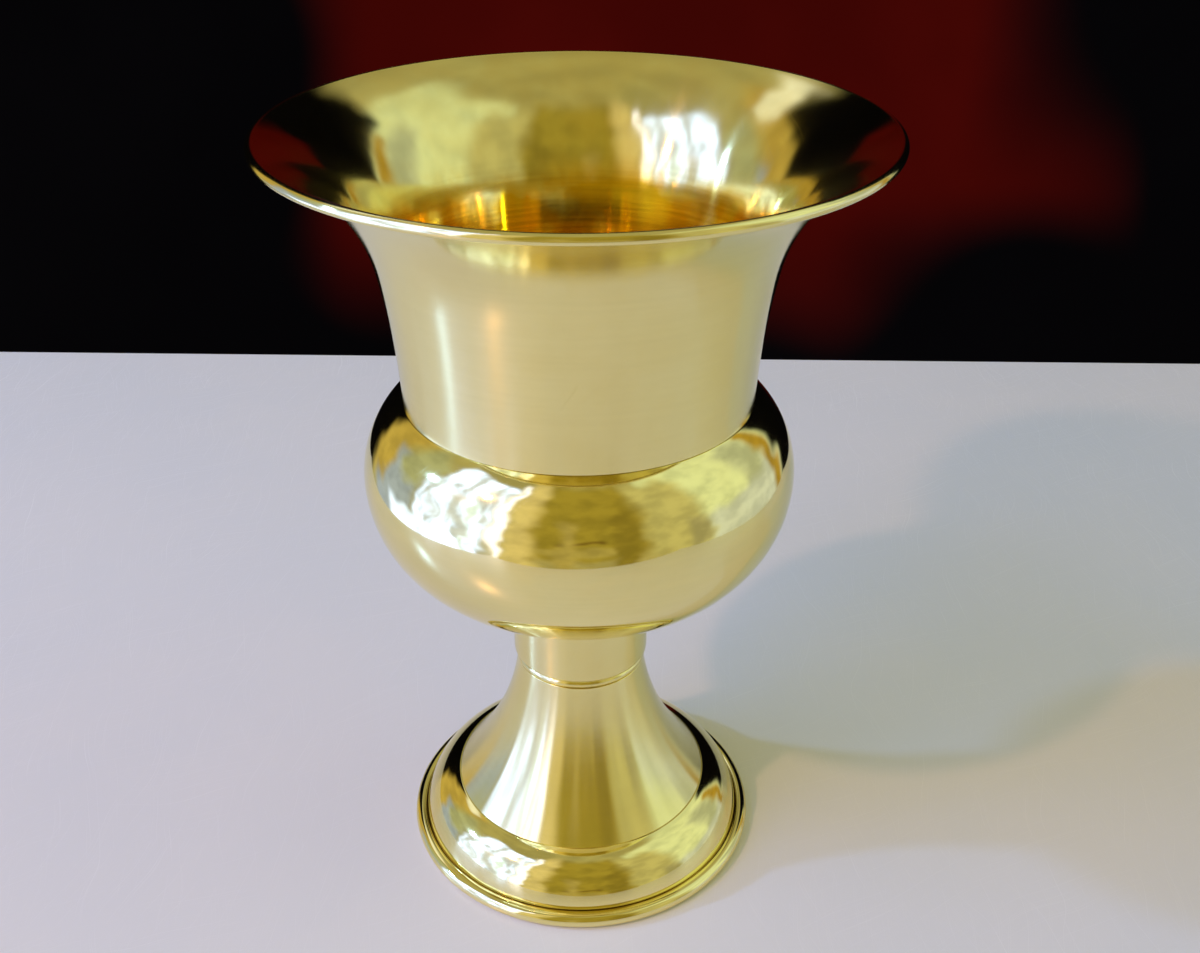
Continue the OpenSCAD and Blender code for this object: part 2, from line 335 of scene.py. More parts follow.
# Hairline scratches: thin sheets of noise cut by the surface, in three directions, kept where the noise is highest
scratchTurns = ((0.3, 1.1, 0.2), (1.2, 0.4, 2.0), (2.3, 1.9, 0.7))
noneAbove, perShare, edgeWidth = 0.78, 0.3, 0.05
hairlines, given, result = newTree(
    "hairlines", "ShaderNodeTree",
    {"Length": (number, 0.01), "Thinness": (number, 30.0), "Share": (number, 0.3)}, {"Scratches": (number, 0.0)})
lengths = addNode(hairlines, "ShaderNodeCombineXYZ", (-1100, 100), {axis: given["Length"] for axis in "XYZ"})
spot = vectorStep(hairlines, (-1000, 0), "DIVIDE", objectPlace(hairlines), lengths.outputs[0])
bends = addNode(hairlines, "ShaderNodeTexNoise", (-1000, -150), {"Vector": spot, "Scale": 0.7}).outputs["Color"]
spot = vectorStep(hairlines, (-750, -150), "ADD", spot, vectorStep(hairlines, (-850, -150), "SCALE", bends, 0.5))
shareCut = calcFloat(hairlines, (-650, 300), "MULTIPLY", given["Share"], perShare)
threshold = calcFloat(hairlines, (-500, 300), "SUBTRACT", noneAbove, shareCut)
full = calcFloat(hairlines, (-300, 300), "ADD", threshold, edgeWidth)
scratches = None
for row, turn in enumerate(scratchTurns):
    down = -250 * row
    turned = addNode(hairlines, "ShaderNodeMapping", (-650, down), {"Vector": spot, "Rotation": turn}).outputs[0]
    sheets = noiseAt(hairlines, (-300, down), upright(hairlines, (-450, down), turned, given["Thinness"]), 1.0, 1.0)
    line = between(hairlines, (-150, down), sheets, threshold, full)
    scratches = line if scratches is None else calcFloat(hairlines, (0, down), "MAXIMUM", scratches, line)
fill(hairlines, result["Scratches"], scratches)

# Clouds of tarnish or tone, from 0 to 1
toneClouds, given, result = newTree("toneClouds", "ShaderNodeTree", {"Size": (number, 0.02)}, {"Tone": (number, 0.0)})
cloudScale = oneOver(toneClouds, (-750, -150), given["Size"])
cloud = noiseAt(toneClouds, (-600, 0), objectPlace(toneClouds), cloudScale, 4.0, 0.6)
fill(toneClouds, result["Tone"], between(toneClouds, (-400, 0), cloud, 0.3, 0.7))

# Low waves left by polishing by hand, as a height in metres
handWaves, given, result = newTree(
    "handWaves", "ShaderNodeTree",
    {"Size": (number, 0.01), "Depth": (number, 0.0001), "Stretch": (number, 1.0)}, {"Height": (number, 0.0)})
spot = upright(handWaves, (-900, 0), objectPlace(handWaves), given["Stretch"])
swell = noiseAt(handWaves, (-600, 0), spot, oneOver(handWaves, (-750, -150), given["Size"]), 0.6, 0.3)
fill(handWaves, result["Height"], calcFloat(handWaves, (-400, 0), "MULTIPLY", swell, given["Depth"]))

# Edges rubbed bright, broken up so that the line isn't even
edgeRub, given, result = newTree(
    "edgeRub", "ShaderNodeTree", {"Edge": (number, 0.0), "Size": (number, 0.004)}, {"Rub": (number, 0.0)})
patches = noiseAt(edgeRub, (-600, 0), objectPlace(edgeRub), oneOver(edgeRub, (-750, -150), given["Size"]))
patchy = between(edgeRub, (-400, 0), patches, 0.35, 0.65, 0.3, 1.0)
fill(edgeRub, result["Rub"], calcFloat(edgeRub, (-200, 0), "MULTIPLY", given["Edge"], patchy))

# Sizes and depths in metres; rings and the tarnish colour grow between the two ring levels, from none above to full
# below. On the insides that colour is a deep amber, partly tarnish and partly painted reflection of the brass walls in
# each other
metalDefaults = {
    "aged": 0.25, "cloudSize": 0.018, "roughSpread": 0.03, "smear": 0.0, "rubbed": 0.5,
    "ringSpacing": 0.0011, "ringDepth": 2e-6, "ringTone": 0.05, "ringLevels": (10, 9), "drift": 1.2,
    "waveSize": 0.012, "waveDepth": 0.0, "waveStretch": 1.0,
    "scratchLength": 0.03, "scratchThin": 260.0, "scratchShare": 0.28, "scratchDepth": 2.5e-7, "scratchRough": 0.05}
agedAbove, ringShadow, smoothest = 0.12, 0.45, 0.03
broadShare, fineShare, evenTone, toneWindow = 0.7, 0.3, 0.5, (0.38, 0.62)
rubGain, rubLift = 1.06, 0.03


def metalFinish(name, **changes):
    look = {**metalDefaults, **changes}
    material = bpy.data.materials.new(name)
    material.use_nodes = True
    tree = material.node_tree
    shader = tree.nodes["Principled BSDF"]
    shader.inputs["Metallic"].default_value = 1.0
    if look["smear"]:  # turning marks draw reflections out across themselves
        shader.inputs["Anisotropic"].default_value = look["smear"]
        shader.inputs["Anisotropic Rotation"].default_value = 0.25
        around = addNode(tree, "ShaderNodeTangent", (-300, -700), direction_type="RADIAL", axis="Z")
        fill(tree, shader.inputs["Tangent"], around.outputs[0])
    here = objectPlace(tree)
    level = addNode(tree, "ShaderNodeSeparateXYZ", (-1400, -200), {"Vector": here}).outputs[2]
    if look.get("plainNode"):  # a CAD node has no profile attribute, so its rings follow its radius and height
        flat = vectorStep(tree, (-1500, 400), "MULTIPLY", here, (1, 1, 0))
        across = addNode(tree, "ShaderNodeVectorMath", (-1350, 400), {0: flat}, operation="LENGTH").outputs["Value"]
        run = calcFloat(tree, (-1200, 400), "ADD", across, level)
    else:
        run = addNode(tree, "ShaderNodeAttribute", (-1400, 200), attribute_name="profileRun").outputs["Fac"]
    edge = addNode(tree, "ShaderNodeAttribute", (-1400, 0), attribute_name="edgeMask").outputs["Fac"]
    lowDown = between(tree, (-1200, -200), level, *look["ringLevels"])
    broad = groupNode(tree, spinRings, (-1000, 300), {
        "Run": run, "Spacing": look["ringSpacing"], "Drift": look["drift"]})
    fine = groupNode(tree, spinRings, (-1000, 150), {
        "Run": run, "Spacing": look["ringSpacing"] / 5, "Drift": look["drift"] * 2})
    rings = calcFloat(tree, (-900, 250), "MULTIPLY_ADD", broad, broadShare, -evenTone)
    rings = calcFloat(tree, (-800, 250), "MULTIPLY_ADD", fine, fineShare, rings)
    rings = calcFloat(tree, (-650, 250), "MULTIPLY_ADD", rings, lowDown, evenTone)
    scratches = groupNode(tree, hairlines, (-1000, -100), {
        "Length": look["scratchLength"], "Thinness": look["scratchThin"], "Share": look["scratchShare"]})
    clouds = groupNode(tree, toneClouds, (-1000, -300), {"Size": look["cloudSize"]})
    waves = groupNode(tree, handWaves, (-1000, -500), {
        "Size": look["waveSize"], "Depth": look["waveDepth"], "Stretch": look["waveStretch"]})
    rub = groupNode(tree, edgeRub, (-1000, -700), {"Edge": edge})

    shadowed = (*(c * ringShadow for c in look["agedColour"]), 1)
    bright = (*(min(1.0, c * rubGain + rubLift) for c in look["colour"]), 1)
    # Clouds of tarnish colour; inside the cup and bowl its deep amber is partly tarnish and partly painted reflection
    # of the brass walls in each other
    aged = calcFloat(tree, (-800, 350), "MULTIPLY_ADD", lowDown, look["aged"] * (1 - agedAbove), look["aged"] * agedAbove)
    agedShare = calcFloat(tree, (-650, 350), "MULTIPLY", clouds, aged)
    tone = mixColour(tree, (-500, 400), agedShare, (*look["colour"], 1), (*look["agedColour"], 1))
    ringDark = between(tree, (-800, 500), rings, *toneWindow, 1.0, 0.0)
    ringShare = calcFloat(tree, (-650, 500), "MULTIPLY", ringDark, look["ringTone"])
    tone = mixColour(tree, (-350, 400), ringShare, tone, shadowed)
    rubShare = calcFloat(tree, (-350, 250), "MULTIPLY", rub, look["rubbed"])
    fill(tree, shader.inputs["Base Color"], mixColour(tree, (-200, 400), rubShare, tone, bright))

    uneven = calcFloat(tree, (-750, 0), "ADD", clouds, rings)
    rough = calcFloat(tree, (-600, 0), "MULTIPLY_ADD", uneven, look["roughSpread"], look["roughness"] - look["roughSpread"])
    rough = calcFloat(tree, (-450, 0), "MULTIPLY_ADD", scratches, look["scratchRough"], rough)
    fill(tree, shader.inputs["Roughness"], calcFloat(tree, (-300, 0), "MAXIMUM", rough, smoothest))

    relief = calcFloat(tree, (-600, -300), "MULTIPLY_ADD", rings, look["ringDepth"], waves)
    relief = calcFloat(tree, (-450, -300), "MULTIPLY_ADD", scratches, -look["scratchDepth"], relief)
    bump = addNode(tree, "ShaderNodeBump", (-300, -300), {"Height": relief, "Distance": 1.0})
    fill(tree, shader.inputs["Normal"], bump.outputs["Normal"])
    return material


brass = {"colour": (0.92, 0.82, 0.37), "agedColour": (0.90, 0.77, 0.31)}
polishedBrass = metalFinish(
    "polishedBrass", **brass, aged=0.5, roughness=0.07, roughSpread=0.02, ringDepth=1.2e-6, ringTone=0.03,
    waveDepth=3.2e-4, waveSize=0.03, waveStretch=1.7)
cupBrass = metalFinish(
    "cupBrass", **brass, aged=0.5, roughness=0.135, smear=1.0, ringDepth=2e-6, ringTone=0.04,
    waveDepth=1e-4, waveSize=0.02, waveStretch=0.4, scratchShare=0.2, scratchRough=0.06)
# The cup's inner wall turns deep amber from 176 mm down to 160 mm, and the bowl's inside is amber all over; this amber
# is partly oxide and partly painted reflection of the brass walls in each other
insideBrass = metalFinish(
    "insideBrass", colour=(0.94, 0.87, 0.42), agedColour=(0.92, 0.57, 0.03), aged=1.8, roughness=0.1, smear=1.0,
    ringSpacing=0.0014, ringDepth=5e-6, ringTone=0.36, ringLevels=(0.176, 0.160),
    waveDepth=1.2e-4, waveSize=0.02, waveStretch=0.6)
bowlInside = metalFinish(
    "bowlInside", colour=(0.93, 0.70, 0.12), agedColour=(0.90, 0.55, 0.03), aged=0.8, roughness=0.14, smear=0.9,
    ringSpacing=0.0016, ringDepth=6e-6, ringTone=0.5, waveDepth=8e-5)
turnedBrass = metalFinish(
    "turnedBrass", **brass, aged=0.6, roughness=0.15, smear=1.0, ringSpacing=0.0009, ringDepth=1.5e-6, ringTone=0.03,
    waveDepth=8e-5, waveStretch=0.5, scratchRough=0.06)
plainBrass = metalFinish(
    "plainBrass", colour=(0.80, 0.62, 0.30), agedColour=(0.56, 0.38, 0.16), aged=0.7, roughness=0.32, roughSpread=0.08,
    cloudSize=0.006, ringSpacing=0.0006, ringTone=0.15, plainNode=True)
cutBrass = metalFinish(
    "cutBrass", colour=(0.80, 0.62, 0.30), agedColour=(0.50, 0.34, 0.15), aged=0.8, roughness=0.3, roughSpread=0.08,
    cloudSize=0.004, ringSpacing=0.0005, ringTone=0.1)
platedSteel = metalFinish(
    "platedSteel", colour=(0.68, 0.69, 0.71), agedColour=(0.44, 0.43, 0.40), aged=0.6, roughness=0.28, roughSpread=0.07,
    cloudSize=0.005, ringSpacing=0.0006, ringTone=0.12, scratchLength=0.005, scratchShare=0.5, plainNode=True)
print("finishes ready")

# Cup: a flared wall over a straight one, its mouth rolled outwards and down over a wire
cup = {"slot": "polished_brass", "turns": 256, "step": 1.2, "arcTurn": 12, "waistRadius": 41.7, "wallSpread": 4,
       "wallHeight": 33.8, "flareLean": 12, "sheet": 0.7, "roll": 1.2, "curlGap": 80, "edge": 0.12}


def cupRows(size):
    rimRadius, waistZ, rimZ = nodeSize("upper_cup")
    lean, sheet, roll = math.radians(size["flareLean"]), size["sheet"], size["roll"]
    rim = (rimRadius - roll, rimZ - roll)
    flare = (size["waistRadius"] + size["wallSpread"], waistZ + size["wallHeight"])
    chord = math.atan2(size["wallSpread"], size["wallHeight"])
    wallLean = 2 * chord - lean
    wallArc = math.hypot(size["wallSpread"], size["wallHeight"]) / (2 * math.sin(lean - chord))
    wallCentre = (flare[0] + wallArc * math.cos(lean), flare[1] - wallArc * math.sin(lean))
    run = (rim[0] - flare[0], rim[1] - flare[1])
    rollOver = sheet - roll
    sideways = run[0] * math.cos(lean) - run[1] * math.sin(lean)
    flareArc = (run[0] ** 2 + run[1] ** 2 - rollOver ** 2) / (2 * (sideways + rollOver))
    flareCentre = (flare[0] + flareArc * math.cos(lean), flare[1] - flareArc * math.sin(lean))
    rimTurn = math.degrees(math.atan2(rim[1] - flareCentre[1], rim[0] - flareCentre[0]))
    low, bend = 180 - math.degrees(wallLean), 180 - size["flareLean"]
    curlEnd = rimTurn + size["curlGap"] - 360
    edge = size["edge"]
    end = math.radians(curlEnd)
    lip = [(rim[0] + radius * math.cos(end), rim[1] + radius * math.sin(end)) for radius in (roll - sheet, roll)]
    outer, inner = arcPart(wallCentre, wallArc, low, bend), arcPart(wallCentre, wallArc + sheet, bend, low)
    parts = [(outer, 0), (arcPart(flareCentre, flareArc, bend, rimTurn), 0),
             (arcPart(rim, roll - sheet, rimTurn, curlEnd), edge), (linePart(*lip), edge),
             (arcPart(rim, roll, curlEnd, rimTurn), 0), (arcPart(flareCentre, flareArc + sheet, rimTurn, bend), 0),
             (inner, edge), (linePart(pointAlong(inner, partLength(inner)), pointAlong(outer, 0)), edge)]
    lengths = [partLength(part) for part, _ in parts]
    insideRun = (sum(lengths[:5]) * mm, sum(lengths[:7]) * mm)  # the flare's inner arc and the wall's
    return profileRows(parts, size["step"], size["arcTurn"], True), insideRun


cupProfile, cupInside = cupRows(cup)
spinPiece("cupShell", cupProfile, cup, "upper_cup", cupBrass, insideBrass, cupInside)

# Bowl: round shoulder and belly, conical underside, flat floor, and a neck that laps inside the cup
bowl = {"slot": "polished_brass", "turns": 256, "step": 1.25, "arcTurn": 12, "waistRadius": 41.7, "shoulderHeight": 20,
        "bellyRadius": 30.3, "bellyCut": 4, "floorRadius": 18, "floorBend": 0.6, "neckRadius": 40.95, "neckHeight": 4,
        "sheet": 0.8, "gap": 0.05, "edge": 0.12}


def bowlRows(size):
    wideRadius, seatZ, neckZ = nodeSize("lower_bowl")
    sheet, belly, neck, edge = size["sheet"], size["bellyRadius"], size["neckRadius"], size["edge"]
    waistZ = neckZ - size["neckHeight"]
    wideZ = waistZ - size["shoulderHeight"]
    swell = wideRadius - size["waistRadius"]
    shoulder = (swell ** 2 + size["shoulderHeight"] ** 2) / (2 * swell)
    shoulderAt, bellyAt = (wideRadius - shoulder, wideZ), (wideRadius - belly, wideZ)
    run = (bellyAt[0] - size["floorRadius"], bellyAt[1] - seatZ)
    inset = belly * math.cos(math.radians(size["bellyCut"]))
    slope = math.degrees(math.atan2(run[1], run[0]) - math.asin(inset / math.hypot(*run)))

    def side(depth, topZ):  # shoulder, belly and conical underside, that far in from the outside
        topTurn = math.degrees(math.asin((topZ - wideZ) / (shoulder - depth)))
        reach = math.degrees(math.acos((inset - depth) / (belly - depth)))
        below = arcPart(bellyAt, belly - depth, 0, slope - 90 - reach)
        floorEdge = (size["floorRadius"] - depth * math.tan(math.radians(slope / 2)), seatZ + depth)
        return [(arcPart(shoulderAt, shoulder - depth, topTurn, 0), 0), (below, 0),
                (linePart(pointAlong(below, partLength(below)), floorEdge), size["floorBend"]),
                (linePart(floorEdge, (0, seatZ + depth)), 0)]

    def turnedBack(parts):
        flipped = [("arc", *p[1:3], p[4], p[3]) if p[0] == "arc" else ("line", p[2], p[1]) for p, _ in reversed(parts)]
        return list(zip(flipped, [size["floorBend"], 0, 0, edge]))

    seat = waistZ - size["gap"]
    outer, inner = side(0, seat), side(sheet, seat - sheet)
    innerTop, outerTop = pointAlong(inner[0][0], 0), pointAlong(outer[0][0], 0)
    corners = [innerTop, (neck - sheet, seat - sheet), (neck - sheet, neckZ), (neck, neckZ), (neck, seat), outerTop]
    roundings = [edge, edge, edge, size["gap"], edge]
    parts = turnedBack(inner)
    parts += [(linePart(a, b), rounding) for a, b, rounding in zip(corners, corners[1:], roundings)]
    insideRun = (0, sum(partLength(part) for part, _ in parts[:-2]) * mm)  # up to the neck's outer corner
    return profileRows(parts + outer, size["step"], size["arcTurn"], False), insideRun


bowlProfile, bowlInner = bowlRows(bowl)
spinPiece("bowlShell", bowlProfile, bowl, "lower_bowl", polishedBrass, bowlInside, bowlInner)

# Collar: a plain turned ring with a round-over and a small bead at its lower end
collar = {"slot": "polished_brass", "turns": 256, "step": 1.0, "arcTurn": 10, "bead": 2.3, "beadInset": 0.5, "roundOver": 1,
          "groove": 0.04, "bore": 9, "recessRadius": 12.1, "recess": 2.1, "edge": 0.15}


def collarRows(size):
    side, low, top = nodeSize("neck_collar")
    bead, roundOver, edge = size["bead"] / 2, size["roundOver"], size["edge"]
    beadAt = (side - size["beadInset"] - bead, low + bead)
    shelf = low + size["bead"]
    recessZ = top - size["recess"]
    corners = [(beadAt[0], low), (size["bore"], low), (size["bore"], recessZ), (size["recessRadius"], recessZ),
               (size["recessRadius"], top), (side, top), (side, shelf + roundOver)]
    parts = [(linePart(a, b), 0 if b is corners[-1] else edge) for a, b in zip(corners, corners[1:])]
    parts += [(arcPart((side - roundOver, shelf + roundOver), roundOver, 0, -90), size["groove"]),
              (linePart((side - roundOver, shelf), (beadAt[0], shelf)), size["groove"]), (arcPart(beadAt, bead, 90, -90), 0)]
    return profileRows(parts, size["step"], size["arcTurn"], True)


spinPiece("collarRing", collarRows(collar), collar, "neck_collar", turnedBrass)

# Cone of the foot: one hollow arc under a flat top with the stud's hole
cone = {"slot": "polished_brass", "turns": 256, "step": 1.1, "arcTurn": 12, "topRadius": 16.6, "lean": 7, "sheet": 0.8,
        "hole": 4.2, "edge": 0.12, "topBend": 0.5}


def coneRows(size):
    footRadius, low, top = nodeSize("foot_cone")
    sheet, edge, lean = size["sheet"], size["edge"], math.radians(size["lean"])
    run = (footRadius - size["topRadius"], top - low)
    chord = math.atan2(*run)
    arc = math.hypot(*run) / (2 * math.sin(chord - lean))
    centre = (size["topRadius"] + arc * math.cos(lean), top + arc * math.sin(lean))

    def turnAt(radius, z):
        return 180 + math.degrees(math.asin((centre[1] - z) / radius))

    outer = arcPart(centre, arc, turnAt(arc, top), turnAt(arc, low))
    inner = arcPart(centre, arc + sheet, turnAt(arc + sheet, low), turnAt(arc + sheet, top - sheet))
    innerTop, innerLow = pointAlong(inner, partLength(inner)), pointAlong(inner, 0)
    corners = [innerTop, (size["hole"], top - sheet), (size["hole"], top), (size["topRadius"], top)]
    parts = [(outer, edge), (linePart(pointAlong(outer, partLength(outer)), innerLow), edge), (inner, size["topBend"])]
    parts += [(linePart(a, b), edge) for a, b in zip(corners, corners[1:])]
    return profileRows(parts, size["step"], size["arcTurn"], True)


spinPiece("coneShell", coneRows(cone), cone, "foot_cone", turnedBrass)

# Base of the foot: a shelf under the cone, a dome, and an edge rolled under and up round a wire
base = {"slot": "polished_brass", "turns": 256, "step": 1.1, "arcTurn": 10, "ledgeRadius": 33.9, "shelfRadius": 29.1,
        "sheet": 0.8, "roll": 2.0, "land": 0.1, "openFrom": 120, "edge": 0.12, "landEdge": 0.1, "rollEdge": 0.2}


def baseRows(size):
    footRadius, low, top = nodeSize("foot_base")
    sheet, roll, edge = size["sheet"], size["roll"], size["edge"]
    rollAt = (footRadius - roll, low + roll - size["land"])
    domeRadius = rollAt[0] - roll + sheet
    run, rise = domeRadius - size["ledgeRadius"], top - rollAt[1]
    arc = (run ** 2 + rise ** 2) / (2 * run)
    domeAt = (domeRadius - arc, rollAt[1])
    ledgeTurn = math.degrees(math.asin(rise / arc))
    underTurn = math.degrees(math.asin((rise - sheet) / (arc - sheet)))
    under = arcPart(domeAt, arc - sheet, 0, underTurn)
    landTurn = math.degrees(math.acos((roll - size["land"]) / roll))
    end = math.radians(size["openFrom"])
    lip = [(rollAt[0] + radius * math.cos(end), rollAt[1] + radius * math.sin(end)) for radius in (roll - sheet, roll)]
    land = [(rollAt[0] + side * roll * math.sin(math.radians(landTurn)), low) for side in (1, -1)]
    parts = [(linePart((size["shelfRadius"], top), (size["ledgeRadius"], top)), edge), (arcPart(domeAt, arc, ledgeTurn, 0), 0),
             (arcPart(rollAt, roll - sheet, -180, size["openFrom"]), edge), (linePart(*lip), edge),
             (arcPart(rollAt, roll, size["openFrom"], landTurn - 90), size["landEdge"]), (linePart(*land), size["landEdge"]),
             (arcPart(rollAt, roll, -90 - landTurn, -180), 0), (under, size["rollEdge"]),
             (linePart(pointAlong(under, partLength(under)), (size["shelfRadius"], top - sheet)), edge),
             (linePart((size["shelfRadius"], top - sheet), (size["shelfRadius"], top)), edge)]
    return profileRows(parts, size["step"], size["arcTurn"], True)


spinPiece("baseShell", baseRows(base), base, "foot_base", polishedBrass)

# Stud: a cut thread all the way, pointed at its lower end
stud = {"slot": "plain_brass", "turns": 48, "step": 0.11, "arcTurn": 12, "chamfer": 0.7, "pitch": 1.25, "depth": 0.72}
stud["thread"] = {"Thread Radius": nodeSize("threaded_stud")[0] * mm, "Thread Depth": stud["depth"] * mm,
                  "Pitch": stud["pitch"] * mm}


def studRows(size):
    side, low, top = nodeSize("threaded_stud")
    corners = [(0, low), (side - size["chamfer"], low), (side, low + size["chamfer"]), (side, top), (0, top)]
    return profileRows([(linePart(a, b), 0) for a, b in zip(corners, corners[1:])], size["step"], size["arcTurn"], False)


spinPiece("studThread", studRows(stud), stud, "threaded_stud", cutBrass)

# The other CAD nodes keep their mesh
keptNodes = {plainBrass: ("rim_wire", "foot_wire", "stud_plate"), platedSteel: ("clamp_washer", "spring_washer", "hex_nut")}
for finish, names in keptNodes.items():
    for name in names:
        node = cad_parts[name]
        node.data.materials.clear()
        node.data.materials.append(finish)
print("pieces ready")

# Table, light and camera
table = {"backLeft": (-279.1, 309.8), "backRight": (295.2, 290.5), "left": -340, "right": 430, "front": -390, "thickness": 25,
         "colour": (0.84, 0.85, 0.83), "second": (0.87, 0.865, 0.83), "roughness": 0.24, "cloudSize": 0.09, "grainSize": 0.002,
         "grainRough": 0.02, "grainDepth": 2e-7, "scratchLength": 0.05, "scratchThin": 400.0, "scratchShare": 0.3,
         "scratchRough": 0.06, "scratchDepth": 5e-7}


def tableFinish(look):
    material = bpy.data.materials.new("paleTable")
    material.use_nodes = True
    tree = material.node_tree
    shader = tree.nodes["Principled BSDF"]
    clouds = groupNode(tree, toneClouds, (-800, 200), {"Size": look["cloudSize"]})
    grain = groupNode(tree, toneClouds, (-800, 0), {"Size": look["grainSize"]})
    scratches = groupNode(tree, hairlines, (-800, -200), {
        "Length": look["scratchLength"], "Thinness": look["scratchThin"], "Share": look["scratchShare"]})
    colour = mixColour(tree, (-400, 200), clouds, (*look["colour"], 1), (*look["second"], 1))
    fill(tree, shader.inputs["Base Color"], colour)
    rough = calcFloat(tree, (-400, 0), "MULTIPLY_ADD", grain, look["grainRough"], look["roughness"])
    rough = calcFloat(tree, (-250, 0), "MULTIPLY_ADD", scratches, look["scratchRough"], rough)
    fill(tree, shader.inputs["Roughness"], rough)
    relief = calcFloat(tree, (-550, -250), "MULTIPLY", grain, look["grainDepth"])
    relief = calcFloat(tree, (-400, -250), "MULTIPLY_ADD", scratches, -look["scratchDepth"], relief)
    bump = addNode(tree, "ShaderNodeBump", (-200, -250), {"Height": relief, "Distance": 1.0})
    fill(tree, shader.inputs["Normal"], bump.outputs["Normal"])
    return material


def tableTop(size):
    slope = (size["backRight"][1] - size["backLeft"][1]) / (size["backRight"][0] - size["backLeft"][0])
    middle = size["backLeft"][1] - slope * size["backLeft"][0]
    left, right, front = size["left"], size["right"], size["front"]
    back = [(right, middle + slope * right), (left, middle + slope * left)]
    outline = [(left, front), (right, front)] + back
    points = [(x * mm, y * mm, z * mm) for z in (0, -size["thickness"]) for x, y in outline]
    faces = [(0, 1, 2, 3), (7, 6, 5, 4)] + [(i, i + 4, (i + 1) % 4 + 4, (i + 1) % 4) for i in range(4)]
    mesh = bpy.data.meshes.new("tableTop")
    mesh.from_pydata(points, [], faces)
    top = bpy.data.objects.new("tableTop", mesh)
    bpy.context.scene.collection.objects.link(top)
    mesh.materials.append(tableFinish(size))


tableTop(table)

lights = {
    "key": {"azimuth": 236, "elevation": 43, "distance": 1.2, "size": 0.05, "power": 2.8, "colour": (1.0, 0.54, 0.33)},
    "side": {"azimuth": 270, "elevation": 31, "distance": 1.2, "size": 0.06, "power": 4.2, "colour": (0.24, 0.42, 1.0)},
}


def towards(azimuth, elevation):  # azimuth 0 is straight behind the cup, and 90 to its right
    a, e = math.radians(azimuth), math.radians(elevation)
    return Vector((math.sin(a) * math.cos(e), math.cos(a) * math.cos(e), math.sin(e)))


for name, lamp in lights.items():
    data = bpy.data.lights.new(name, "AREA")
    data.shape, data.size = "DISK", lamp["size"]
    data.energy, data.color = lamp["power"], lamp["colour"]
    light = bpy.data.objects.new(name, data)
    outward = towards(lamp["azimuth"], lamp["elevation"])
    light.location = outward * lamp["distance"]
    light.rotation_mode = "QUATERNION"
    light.rotation_quaternion = outward.to_track_quat("Z", "Y")
    bpy.context.scene.collection.objects.link(light)

# The room round the table: soft panels by direction, (azimuth, elevation, half width, half height, softness, colour)
room = {
    "ceiling": (0.42, 0.39, 0.20),
    "rightWall": (88, 24, 44, 40, 4, (0.74, 0.84, 0.66)),
    "rightFar": (71, 10, 10, 34, 5, (0.52, 0.58, 0.52)),
    "rightLow": (84, -6, 30, 14, 6, (0.64, 0.72, 0.88)),
    "rightFade": (131, 12, 17, 46, 6, (0.55, 0.52, 0.28)),
    "doorPost": (118, -2, 5, 14, 3, (0.42, 0.40, 0.26)),
    "front": (178, 14, 31, 54, 6, (0.35, 0.28, 0.05)),
    "frontShelf": (180, -1, 22, 5, 3, (0.42, 0.35, 0.12)),
    "frontBand": (180, 10, 13, 1.5, 2, (0.16, 0.10, 0.02)),
    "frontLow": (178, -17, 44, 6, 4, (0.45, 0.40, 0.20)),
    "frontDark": (157, 6, 6, 34, 3, (0.28, 0.22, 0.04)),
    "frontLamp": (187, 4, 4, 26, 4, (0.46, 0.38, 0.14)),
    "warmWall": (212, 16, 8, 54, 5, (0.74, 0.63, 0.36)),
    "windowEdge": (223, 14, 3, 48, 2, (1.9, 2.0, 3.6)),
    "window": (249, 12, 22, 44, 2, (1.6, 2.2, 5.6)),
    "windowBar": (238, 8, 2.5, 40, 2, (0.9, 1.15, 1.9)),
    "windowTuft": (249, 26, 4, 5, 3, (0.75, 0.60, 0.50)),
    "paleLeft": (290, -2, 17, 22, 5, (0.38, 0.47, 0.86)),
    "lowLeft": (277, -17, 12, 8, 3, (1.3, 1.7, 3.8)),
    "shade": (283, 26, 10, 17, 4, (0.42, 0.46, 0.36)),
    "amberLeft": (309, 22, 11, 32, 4, (0.54, 0.41, 0.12)),
    "strip": (322, 45, 20, 4, 2, (0.95, 0.98, 1.1)),
    "curtain": (3, 3, 49, 38, 3, (0.0016, 0.0014, 0.0018)),
    "velvet": (4, 0, 15, 20, 2, (0.05, 0.002, 0.0012)),
    "amberRight": (58, 8, 4, 26, 3, (0.42, 0.28, 0.04)),
}
world = bpy.data.worlds.new("room")
bpy.context.scene.world = world
world.use_nodes = True
sky = world.node_tree
look = addNode(sky, "ShaderNodeTexCoord", (-1400, 0)).outputs["Generated"]
split = addNode(sky, "ShaderNodeSeparateXYZ", (-1200, 0), {"Vector": look})
azimuth = calcFloat(sky, (-1000, 100), "ARCTAN2", split.outputs["X"], split.outputs["Y"])
elevation = calcFloat(sky, (-1000, -100), "ARCSINE", split.outputs["Z"])
# Nothing in a room has a ruled edge: its directions wander a little, and the window's light comes through folds
unevenness = {"wander": 0.22, "wanderScale": 4.5, "foldsAcross": 5.5, "foldsUp": 2.0, "foldScale": 1.1, "foldFrom": 0.36,
              "foldTo": 0.60, "foldShade": 0.2, "clutter": (0.86, 1.12), "clutterScale": 5.0}
wanderNoise = addNode(sky, "ShaderNodeTexNoise", (-1200, 300), {
    "Vector": look, "Scale": unevenness["wanderScale"], "Detail": 0.8}).outputs["Color"]
drift = addNode(sky, "ShaderNodeSeparateColor", (-1000, 300), {"Color": wanderNoise})


def wandered(place, value, noise):
    offset = calcFloat(sky, (place[0] - 50, place[1]), "SUBTRACT", noise, 0.5)
    return calcFloat(sky, place, "MULTIPLY_ADD", offset, unevenness["wander"], value)


